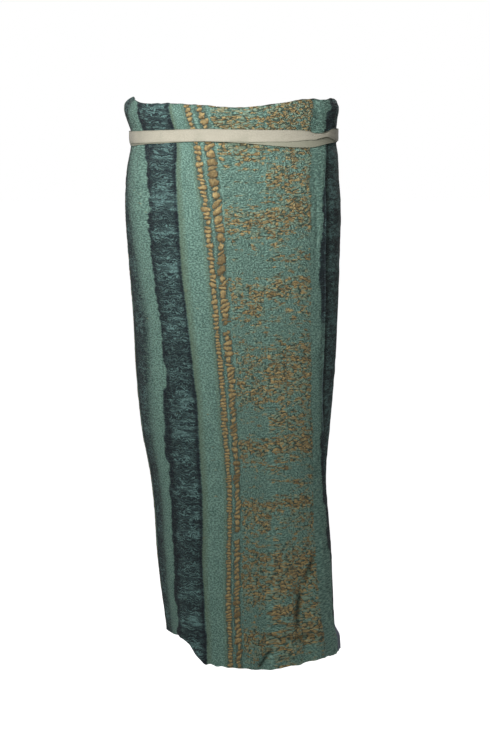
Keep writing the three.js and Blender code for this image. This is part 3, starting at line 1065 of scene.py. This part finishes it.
@dataclass(frozen=True)
class ReverseFinish:
    """The crinkled cloth's wrong side: greyed lilac, with the navy bands showing through a little."""

    light: Colour = linear(128, 136, 152)
    dark: Colour = linear(86, 92, 108)
    navy: Colour = linear(60, 66, 82)
    smoother: float = 0.88
    rougher: float = 0.96
    thread: float = 0.85
    relief_mm: float = 0.8

    def material(self, effects: SharedEffects) -> bpy.types.Material:
        """Builds the material."""
        made, w, shader = start_material("crinkled_cloth_wrong_side")
        place = w.place_mm()
        grain = w.group(effects.fine_grain, place=place, thread=self.thread)
        lines = w.group(effects.meander, place=place, pitch=6.0, cell=26.0, swirl=3.5)["Lines"]
        colour = w.blend(lines * 0.3 + grain["Shade"] * 0.8, self.dark, self.light)
        shows = w.strength("navy") * w.ramp(lines, 0.9, 0.4)
        relief = grain["Height"] * 0.5 + lines * 0.5
        surface = {
            "Base Color": w.blend(shows * 0.6, colour, self.navy),
            "Roughness": w.between(grain["Shade"], self.smoother, self.rougher),
            "Normal": w.bump(relief, 0.9, self.relief_mm),
        }
        w.feed(shader, surface)
        return made


@dataclass(frozen=True)
class TapeFinish:
    """Natural cotton twill tape, a little dirty, with painted shade on the turn that lies beneath the other.
    """

    light: Colour = linear(208, 202, 184)
    dark: Colour = linear(172, 167, 148)
    # the tape's stains and edges; the same colour is painted shade on the first turn, which the second lies
    # over
    soil_and_shade: Colour = linear(146, 150, 128)
    twill_pitch: float = 1.25
    twill_turn: float = 35.0  # degrees
    smoother: float = 0.8
    rougher: float = 0.92
    thread: float = 0.4
    relief_mm: float = 0.25

    def material(self, effects: SharedEffects) -> bpy.types.Material:
        """Builds the material."""
        made, w, shader = start_material("cotton_twill_tape")
        place = w.place_mm()
        grain = w.group(effects.fine_grain, place=place, thread=self.thread)
        wave = {
            "Vector": w.stretched(place, 1.0, 1.0, self.twill_turn),
            "Scale": 2 * math.pi / (20 * self.twill_pitch),
            "Distortion": 0.6,
            "Detail": 1.0,
        }
        twill = w.signal("TexWave", wave, "Fac", bands_direction="Y", wave_profile="SIN")
        colour = w.blend(twill * 0.3 + grain["Shade"] * 0.9, self.dark, self.light)
        stain = w.ramp(w.noise(place, 0.035, 3.0), 0.52, 0.78)
        # stains and edges, and painted shade on the first turn where the second lies over it
        for dirt_and_shade in (stain * 0.25, w.strength("tape_edge") * 0.5, w.strength("dirt_and_shade") * 0.6):
            colour = w.blend(dirt_and_shade, colour, self.soil_and_shade)
        surface = {
            "Base Color": colour,
            "Roughness": w.between(grain["Shade"], self.smoother, self.rougher),
            "Sheen Weight": 0.15,
            "Normal": w.bump(grain["Height"] * 0.5 + twill, 0.5, self.relief_mm),
        }
        w.feed(shader, surface)
        return made


def grid_faces(number: Array, flip: bool) -> Array:
    """The quads of a grid.

    Args:
        number: the grid's point numbers.
        flip: whether the faces look the other way.

    Returns:
        An array of four point numbers for each quad.
    """
    quad = [number[:-1, :-1], number[1:, :-1], number[1:, 1:], number[:-1, 1:]]
    if flip:
        quad.reverse()
    return np.stack([c.ravel() for c in quad], axis=1)


def borders(number: Array) -> tuple[Array, ...]:
    """The four borders of a grid of point numbers: top, bottom, start and end."""
    return number[0, :], number[-1, ::-1], number[::-1, 0], number[:, -1]


def rim_faces(outer: Array, inner: Array, every: int) -> list[list[int]]:
    """Faces that join the border of a fine grid to that of a coarse one.

    Args:
        outer: the fine border's point numbers in order.
        inner: the coarse border's, one for each `every` of them.
        every: fine steps in one coarse step.

    Returns:
        One many-sided face for each coarse step.
    """
    faces = []
    for k in range(len(inner) - 1):
        fine = [int(n) for n in outer[k * every : k * every + every + 1]]
        faces.append(fine + [int(inner[k + 1]), int(inner[k])])
    return faces


@dataclass
class Sheet:
    """A smooth thin sheet: a fine outer grid of points, a coarser inner one, and the edges between them."""

    outer: Array  # metres, with x, y and z last
    inner: Array
    every: int  # fine steps in one coarse step
    across: Array  # the place on the cloth of each outer point, in millimetres
    along: Array
    strengths: dict[str, Array]  # numbers kept at each point, by name

    def at_points(self, values: Array) -> Array:
        """Values of the outer grid as one for each point of both grids."""
        shape = self.outer.shape[:2]
        fine = np.broadcast_to(values, shape)
        return np.concatenate([fine.ravel(), fine[:: self.every, :: self.every].ravel()])

    def build(self, name: str, materials: list[bpy.types.Material]) -> bpy.types.Object:
        """Makes the mesh object.

        Args:
            name: the object's name.
            materials: the outer side's, and the inner side's if that is another.

        Returns:
            The object, linked to the scene.
        """
        fine = np.arange(self.outer[..., 0].size).reshape(self.outer.shape[:2])
        coarse = fine.size + np.arange(self.inner[..., 0].size).reshape(self.inner.shape[:2])
        right_side = list(grid_faces(fine, True))
        wrong_side = list(grid_faces(coarse, False))
        faces = right_side + wrong_side
        for border, border_in in zip(borders(fine), borders(coarse)):
            faces += rim_faces(border, border_in, self.every)
        slots = np.zeros(len(faces))
        slots[len(right_side) : len(right_side) + len(wrong_side)] = len(materials) - 1

        mesh = bpy.data.meshes.new(name)
        points = np.concatenate([self.outer.reshape(-1, 3), self.inner.reshape(-1, 3)])
        counts = np.array([len(face) for face in faces])
        loops = np.concatenate([np.asarray(face) for face in faces])
        mesh.vertices.add(len(points))
        mesh.vertices.foreach_set("co", points.astype(np.float32).ravel())
        mesh.loops.add(len(loops))
        mesh.loops.foreach_set("vertex_index", loops.astype(np.int32))
        mesh.polygons.add(len(faces))
        starts = np.concatenate([[0], np.cumsum(counts)[:-1]])
        mesh.polygons.foreach_set("loop_start", starts.astype(np.int32))
        mesh.polygons.foreach_set("material_index", slots.astype(np.int32))
        mesh.update(calc_edges=True)
        uv = np.stack([self.at_points(self.across), self.at_points(self.along)], axis=-1) * MM
        layer = mesh.uv_layers.new(name="cloth")
        layer.data.foreach_set("uv", uv[loops].astype(np.float32).ravel())
        for label, values in self.strengths.items():
            kept = mesh.attributes.new(label, "FLOAT", "POINT")
            kept.data.foreach_set("value", self.at_points(values).astype(np.float32))
        for material in materials:
            mesh.materials.append(material)
        mesh.shade_smooth()
        mesh.validate()
        return new_object(name, mesh)


def new_object(name: str, data: bpy.types.ID) -> bpy.types.Object:
    """A new object, linked to the scene."""
    made = bpy.data.objects.new(name, data)
    bpy.context.scene.collection.objects.link(made)
    return made


@dataclass
class ClothPanel:
    """One panel of crinkled cloth: a fine right side, a coarser wrong side, and the edges between them."""

    name: str = ""
    node: str = ""
    columns: int = 0
    rows: int = 0
    seed: int = 0
    turns: Pair = (LEFT_SEAM, RIGHT_SEAM)
    seams: tuple[bool, bool] = (False, False)  # whether a seam lies at its start and at its end
    every: int = 4  # fine steps in one coarse step
    form: BodyForm = BodyForm()
    thickness: float = 1.15
    inside: float = -0.2  # where the wrong side lies, out from the solid's inside
    greatest_relief: float = 0.75
    seam_depth: float = 0.9
    pattern_seed: int = 40

    def turn_at(self, share: Array, z: Array) -> Array:
        """The turn at a share of the panel's width, at a height."""
        return self.turns[0] + (self.turns[1] - self.turns[0]) * share + 0 * z

    def stand_off(self, turn: Array, z: Array) -> Array:
        """How far the solid's inside stands off the form."""
        return np.zeros(np.shape(turn))

    def across(self, turn: Array, z: Array) -> Array:
        """The place across the cloth of a turn and a height."""
        return LEFT_SEAM_ACROSS + (turn - LEFT_SEAM) * MM_PER_DEGREE

    def cut(self) -> Pair:
        """The flat width and length that the panel was cut to, in metres."""
        raise NotImplementedError

    def selvedge(self, across: Array, z: Array) -> Array:
        """How much of the pale edge shows at each place."""
        return np.zeros(across.shape)

    def edge_shows(self, across: Array, z: Array) -> Array:
        """How much of the navy shows at each place, from 0 to 1."""
        return np.ones(across.shape)

    def painted_edge_shadow(self, turn: Array, z: Array) -> Array:
        """How near the edge of a panel that lies over this one each place is, from 0 to 1, for the painted
        shadow that edge casts.
        """
        return np.zeros(turn.shape)

    def places(self) -> tuple[Array, Array]:
        """Turns and heights of the fine grid, rows from the top edge to the hem."""
        share = np.linspace(0, 1, self.columns + 1)[None, :]
        drop = np.linspace(0, 1, self.rows + 1)[:, None]
        turn = self.turn_at(share, 60 - 950 * drop)
        for _ in range(3):
            top = self.form.edge("top", turn)
            z = top + (self.form.edge("hem", turn) - top) * drop
            turn = self.turn_at(share, z)
        shape = (1, self.columns + 1)
        unevenness = 0.5 * soft_noise(shape, (1, 9), self.seed + 5)
        unevenness = unevenness + 0.7 * soft_noise(shape, (1, 30), self.seed + 6)
        z = z + unevenness * (smoothstep(0.9, 1, drop) + 0.6 * smoothstep(0.04, 0, drop))
        return turn, z

    def relief(self, pattern: ClothPattern, field: Array, puff: Array) -> Array:
        """The height of the crinkle in millimetres, about 0."""
        shape = pattern.across.shape
        level = soft_noise(shape, (3.8, 5.5), self.seed, 0.5)
        upright = soft_noise(shape, (6.5, 3.8), self.seed + 1, 0.5)
        lean = pattern.lean()
        small = level * (1 - lean) + (0.5 * level + 0.7 * upright) * lean
        broad = soft_noise(shape, (13, 11), self.seed + 2, 0.6)
        return (0.07 + 0.17 * field) * np.tanh(small) + 0.17 * broad + 0.45 * puff

    def seam_dip(self) -> Array:
        """How far the cloth dips at each column for the seams at its two ends."""
        steps = np.arange(self.columns + 1)[None, :]
        dip = np.zeros(steps.shape)
        for seamed, from_seam in zip(self.seams, (steps, self.columns - steps)):
            if seamed:
                dip = dip + self.seam_depth * np.exp(-((from_seam / 1.6) ** 2))
        return dip

    def build(self, face: bpy.types.Material, reverse: bpy.types.Material) -> bpy.types.Object:
        """Builds the panel's object."""
        turn, z = self.places()
        across = self.across(turn, z)
        pattern = ClothPattern(across, -z, self.pattern_seed)
        field = pattern.fields()
        count, side, gold, puff = pattern.rungs()
        height = self.relief(pattern, field, puff) - self.seam_dip()
        height = np.clip(height, -self.greatest_relief, self.greatest_relief)
        off = self.stand_off(turn, z)
        press = self.form.press(turn, z)
        coarse = (slice(None, None, self.every), slice(None, None, self.every))
        deepest = maximum_near(press, self.every)
        navy_shows = self.edge_shows(across, z)
        strengths = {
            "navy": pattern.strength(BandKind.NAVY) * navy_shows,
            "field": field,
            "in_field": pattern.in_fields(),
            "pale": pattern.patches(),
            "border": pattern.border() * navy_shows,
            "rung_side": side,
            "rung_count": count,
            "rung_gold": gold,
            "olive": pattern.strength(BandKind.OLIVE),
            "lean": pattern.lean(),
            "selvedge": self.selvedge(across, z),
            # painted shade in narrow creases, and the painted shadow of the front's free edge on the under
            # panel
            "folded": np.maximum(self.form.folded(turn, z), self.painted_edge_shadow(turn, z)),
        }
        outer = self.form.place(turn, z, off - press + self.thickness + height)
        inner = self.form.place(turn[coarse], z[coarse], (off - deepest)[coarse] + self.inside)
        made = Sheet(outer, inner, self.every, across, -z, strengths).build(self.name, [face, reverse])
        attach(made, BODY)
        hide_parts(self.node)
        log.info("%s: %d faces", made.name, len(made.data.polygons))
        return made


@dataclass
class FrontPanel(ClothPanel):
    """The wide front, whose free edge lies over the under panel at the viewer's right."""

    name: str = "front_cloth"
    node: str = "front_panel"
    columns: int = 200
    rows: int = 448
    seed: int = 11
    seams: tuple[bool, bool] = (False, True)
    lap_step: float = 2.6
    lap_full: float = 130.0
    corner_top: float = -848.0
    corner_bottom: float = -874.0
    corner_reach: float = 14.0
    corner_out: float = 9.0

    def turn_at(self, share: Array, z: Array) -> Array:
        """From the free edge to the left seam."""
        free = FREE_EDGE.read("turn", z)
        return free + (LEFT_SEAM - free) * share

    def stand_off(self, turn: Array, z: Array) -> Array:
        """Over the under panel, and out at the free edge's bottom corner."""
        corner = smoothstep(-self.corner_top, -self.corner_bottom, -z)
        from_edge = np.abs(turn - FREE_EDGE.read("turn", z))
        lift = self.corner_out * corner * np.exp(-from_edge / self.corner_reach)
        return self.lap_step * smoothstep(-LEFT_SEAM, -self.lap_full, -turn) + lift

    def across(self, turn: Array, z: Array) -> Array:
        """By the stripes' borders, which lie where the photograph shows them."""
        names = STRIPES.columns[1:]
        turns = [FREE_EDGE.read("turn", z)] + [STRIPES.read(name, z) for name in names]
        turns.append(np.full(np.shape(z), LEFT_SEAM))
        places = [0.0] + [ACROSS[name] for name in names] + [LEFT_SEAM_ACROSS]
        result = np.zeros(np.shape(turn))
        for k in range(len(places) - 1):
            low = np.minimum(turns[k], turns[k + 1] - 0.2)
            share = (turn - low) / (turns[k + 1] - low)
            inside = (turn >= low) & (share <= 1) if k else share <= 1
            place = places[k] + (places[k + 1] - places[k]) * np.maximum(share, 0)
            result = np.where(inside, place, result)
        return result

    def cut(self) -> Pair:
        """Flat width and length."""
        return (0.46, 0.99)

    def selvedge(self, across: Array, z: Array) -> Array:
        """A pale line along the free edge, strongest below the hip and at the bottom corner."""
        line = smoothstep(2.6, 1.2, across)
        middle = smoothstep(-360, -420, z) * smoothstep(-520, -470, z)
        corner = smoothstep(-830, -840, z)
        return np.maximum(line * (0.15 + 0.6 * middle), corner * smoothstep(8.5, 7.0, across))

    def edge_shows(self, across: Array, z: Array) -> Array:
        """The navy edge fades at thigh height, and the turned corner at the hem shows none of it."""
        thigh = 0.7 * smoothstep(-285, -320, z) * smoothstep(-520, -470, z)
        corner = smoothstep(-824, -836, z)
        return 1 - np.maximum(thigh, corner) * smoothstep(20, 14, across)


@dataclass
class BackPanel(ClothPanel):
    """The back, from the left seam to the right one."""

    name: str = "back_cloth"
    node: str = "back_panel"
    columns: int = 184
    rows: int = 360
    seed: int = 12
    seams: tuple[bool, bool] = (True, True)

    def cut(self) -> Pair:
        """Flat width and length."""
        return (0.54, 0.98)


@dataclass
class UnderPanel(ClothPanel):
    """The end of the wrap beneath the front, from the right seam to the hidden end."""

    name: str = "under_cloth"
    node: str = "under_panel"
    columns: int = 128
    rows: int = 360
    seed: int = 13
    turns: Pair = (RIGHT_SEAM, UNDER_END)
    seams: tuple[bool, bool] = (True, False)

    def stand_off(self, turn: Array, z: Array) -> Array:
        """A little inside the form beneath the front."""
        return -0.9 * smoothstep(RIGHT_SEAM, RIGHT_SEAM + 40, turn)

    def painted_edge_shadow(self, turn: Array, z: Array) -> Array:
        """A painted shadow line where the front's free edge lies on this panel."""
        return smoothstep(6.0, 3.6, FREE_EDGE.read("turn", z) - (turn - RIGHT_SEAM))

    def cut(self) -> Pair:
        """Flat width and length."""
        return (0.36, 0.99)


# The tape all round: the middle height of the turn on the cloth and of the one on top of it,
# and how narrow and how folded the top one is, as shares, where it is twisted
TAPE_COURSE = table(
    "turn first second width folded",
    (-90, -1, 1, 1, 0),
    (-30, 0, 3, 1, 0),
    (0, 2, 4, 1, 0),
    (20, 2.5, 4.6, 0.98, 0),
    (28, 2.5, 6.7, 0.8, 0.4),
    (33, 1, 6, 0.4, 1),
    (36, -0.5, 5, 0.3, 1),
    (40, -1.8, 4.8, 0.4, 1),
    (44, -3.5, 4.3, 0.5, 0.8),
    (49, -4.3, 5.9, 0.78, 0.2),
    (56, -3.6, 5.5, 0.92, 0),
    (75, 1.3, 5.6, 0.98, 0),
    (90, 5, 6, 1, 0),
    (107, 6.5, 6.7, 1, 0),
    (130, 3, 4.5, 0.96, 0),
    (141, 1.2, 3, 0.98, 0),
    (159, -2.8, 1, 1, 0),
    (180, -3, 0, 1, 0),
    (230, -2, 0, 1, 0),
    (270, -1, 1, 1, 0),
)


@dataclass
class WaistTape:
    """One cotton tape wound nearly twice round, half twisted at the viewer's right."""

    name: str = "waist_tape_strip"
    width: float = 20.5
    thickness: float = 0.8
    wall: float = 1.6
    clearance: float = 0.5
    solid_thickness: float = 1.0
    wound: float = 680.0
    step: float = 1.0
    crossing: Pair = (324.0, 356.0)
    lap_start: Pair = (8.0, 25.0)
    lap_full: float = 130.0
    lap_step: float = 2.6
    fold_extra: float = 2.2
    slant: float = 3.5  # how far the twist runs on from one edge of the tape to its middle, in degrees
    narrowest: float = 0.6
    across_points: int = 15
    form: BodyForm = BodyForm()

    def bed(self, turn: Array) -> Array:
        """How far the cloth's outside and the clearance stand off the form."""
        climb = smoothstep(*self.lap_start, turn)
        fall = smoothstep(-LEFT_SEAM, -self.lap_full, -turn)
        lap = np.where(turn < self.lap_start[1], climb, np.where(turn < 200, fall, 0))
        return self.wall + self.clearance + self.lap_step * lap

    def wave(self, stations: int, length: float, seed: int) -> Array:
        """A gentle random wave along the tape."""
        return soft_noise((1, stations), (1, length), seed)[0][:, None]

    def build(self, material: bpy.types.Material) -> bpy.types.Object:
        """Builds the tape's object."""
        stations = int(self.wound / self.step) + 1
        wound = np.linspace(0, self.wound, stations)[:, None]
        turn = np.mod(wound, 360) - 90
        second = smoothstep(*self.crossing, wound)
        side = np.linspace(-1, 1, self.across_points)[None, :]
        middle = TAPE_COURSE.read("first", turn) * (1 - second) + TAPE_COURSE.read("second", turn) * second
        width = 1 + (TAPE_COURSE.read("width", turn) - 1) * second
        slanted = np.clip(turn + self.slant * side, -90, 270)
        folded = np.clip(TAPE_COURSE.read("folded", slanted), 0, 1) * second
        zigzag = np.where(side < -1 / 3, 2 + 3 * side, np.where(side > 1 / 3, -2 + 3 * side, -3 * side))
        spread = (1 - folded) * side * np.maximum(width, self.narrowest) + folded * zigzag * width * 0.9
        height = middle - self.width / 2 * spread + self.wave(stations, 18, 62) * side * 0.14
        layer = folded * (side + 1) / 2 * self.fold_extra * 0.8
        ripple = np.abs(self.wave(stations, 34, 61) * 0.12)
        bed = self.bed(turn) + second * (self.solid_thickness + self.clearance)
        low = bed + layer + 0.1 + ripple
        crown = self.thickness * (1 - 0.35 * np.abs(side) ** 6) * (1 - 0.25 * folded)
        outer = self.form.place(turn, height, low + crown)
        inner = self.form.place(turn, height, low)
        along = self.length() / (stations - 1) * np.arange(stations)[:, None]
        # the first turn, which the second lies over, gets painted shade
        strengths = {"tape_edge": smoothstep(0.8, 0.98, np.abs(side)), "dirt_and_shade": 1 - second}
        made = Sheet(outer, inner, 1, side * self.width / 2, along, strengths).build(self.name, [material])
        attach(made, BODY)
        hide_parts("waist_tape")
        self.length() * MM
        log.info("%s: %d faces", made.name, len(made.data.polygons))
        return made

    def length(self) -> float:
        """The tape's length in millimetres, measured along its middle."""
        wound = np.linspace(0, self.wound, 1361)
        turn = np.mod(wound, 360) - 90
        path = self.form.place(turn, 0 * turn, self.bed(turn)) / MM
        return float(np.linalg.norm(np.diff(path, axis=0), axis=1).sum())


@dataclass(frozen=True)
class Lamp:
    """One soft light: where it stands, where it looks, its size in metres and its power in watts."""

    name: str
    place: Point
    aim: Point
    size: Pair
    power: float

    def build(self) -> None:
        """Creates the light, which the camera doesn't see."""
        data = bpy.data.lights.new(self.name, "AREA")
        data.shape = "RECTANGLE"
        data.size, data.size_y = self.size
        data.energy = self.power
        lamp = new_object(self.name, data)
        lamp.location = self.place
        lamp.rotation_mode = "QUATERNION"
        lamp.rotation_quaternion = (Vector(self.aim) - Vector(self.place)).to_track_quat("-Z", "Y")
        lamp.visible_camera = False


@dataclass(frozen=True)
class Studio:
    """A pale floor, soft lights and the camera at the photograph's viewing angle."""

    camera_place: Point = (0.0203, -3.3, 0.1)
    tilt_down: float = 8.517
    lens: float = 94.92
    sensor: float = 36.0
    floor_height: float = -1.06
    floor_size: float = 30.0
    white: Colour = (1.0, 1.0, 1.0, 1.0)
    paint: Colour = (0.9, 0.9, 0.9, 1.0)
    lamps: tuple[Lamp, ...] = (
        Lamp("upper_front_light", (-0.22, -0.84, 0.36), (0.0, 0.0, -0.05), (0.6, 0.3), 8.9),
        Lamp("lower_front_light", (-0.9, -2.2, 0.2), (0.0, 0.0, -0.6), (0.9, 0.9), 3.0),
        Lamp("upper_back_light", (0.3, 0.95, 0.36), (0.0, 0.0, -0.05), (0.9, 0.3), 9.0),
    )

    def camera(self) -> None:
        """Creates the camera."""
        data = bpy.data.cameras.new("studio_camera")
        data.lens = self.lens
        data.sensor_width = self.sensor
        data.clip_end = 60.0
        camera = new_object("studio_camera", data)
        camera.location = self.camera_place
        camera.rotation_euler = (math.radians(90 - self.tilt_down), 0, 0)
        bpy.context.scene.camera = camera

    def glow(self, w: Wiring, node: bpy.types.Node, name: str, lit: float, seen: float) -> None:
        """Gives a node one strength for the light that it casts and another for the camera."""
        by_camera = w.signal("LightPath", {}, "Is Camera Ray")
        w.feed(node, {name: w.between(by_camera, lit, seen)})

    def floor(self) -> None:
        """Creates the pale floor."""
        half = self.floor_size / 2
        places = [(-half, -half), (half, -half), (half, half), (-half, half)]
        mesh = bpy.data.meshes.new("studio_floor")
        mesh.from_pydata([(x, y, self.floor_height) for x, y in places], [], [(0, 1, 2, 3)])
        material = bpy.data.materials.new("studio_floor_paint")
        material.use_nodes = True
        w = Wiring(material.node_tree)
        shader = w.tree.nodes["Principled BSDF"]
        w.feed(shader, {"Base Color": self.paint, "Roughness": 0.9, "Emission Color": self.white})
        self.glow(w, shader, "Emission Strength", 0.04, 0.95)
        mesh.materials.append(material)
        new_object("studio_floor", mesh)

    def world(self) -> None:
        """A plain pale world."""
        world = bpy.data.worlds.new("studio_world")
        world.use_nodes = True
        w = Wiring(world.node_tree)
        background = w.tree.nodes["Background"]
        w.feed(background, {"Color": self.white})
        self.glow(w, background, "Strength", 0.07, 1.0)
        bpy.context.scene.world = world

    def build(self) -> None:
        """Builds the whole studio."""
        self.camera()
        self.floor()
        for lamp in self.lamps:
            lamp.build()
        self.world()
        bpy.context.scene.view_settings.view_transform = "Standard"


def main() -> None:
    """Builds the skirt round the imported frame."""
    logging.basicConfig(level=logging.INFO, format="%(message)s")
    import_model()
    Studio().build()
    effects = SharedEffects()
    face = ClothFinish().material(effects)
    reverse = ReverseFinish().material(effects)
    WaistTape().build(TapeFinish().material(effects))
    for panel in (FrontPanel(), BackPanel(), UnderPanel()):
        panel.build(face, reverse)


if __name__ == "__main__":
    main()
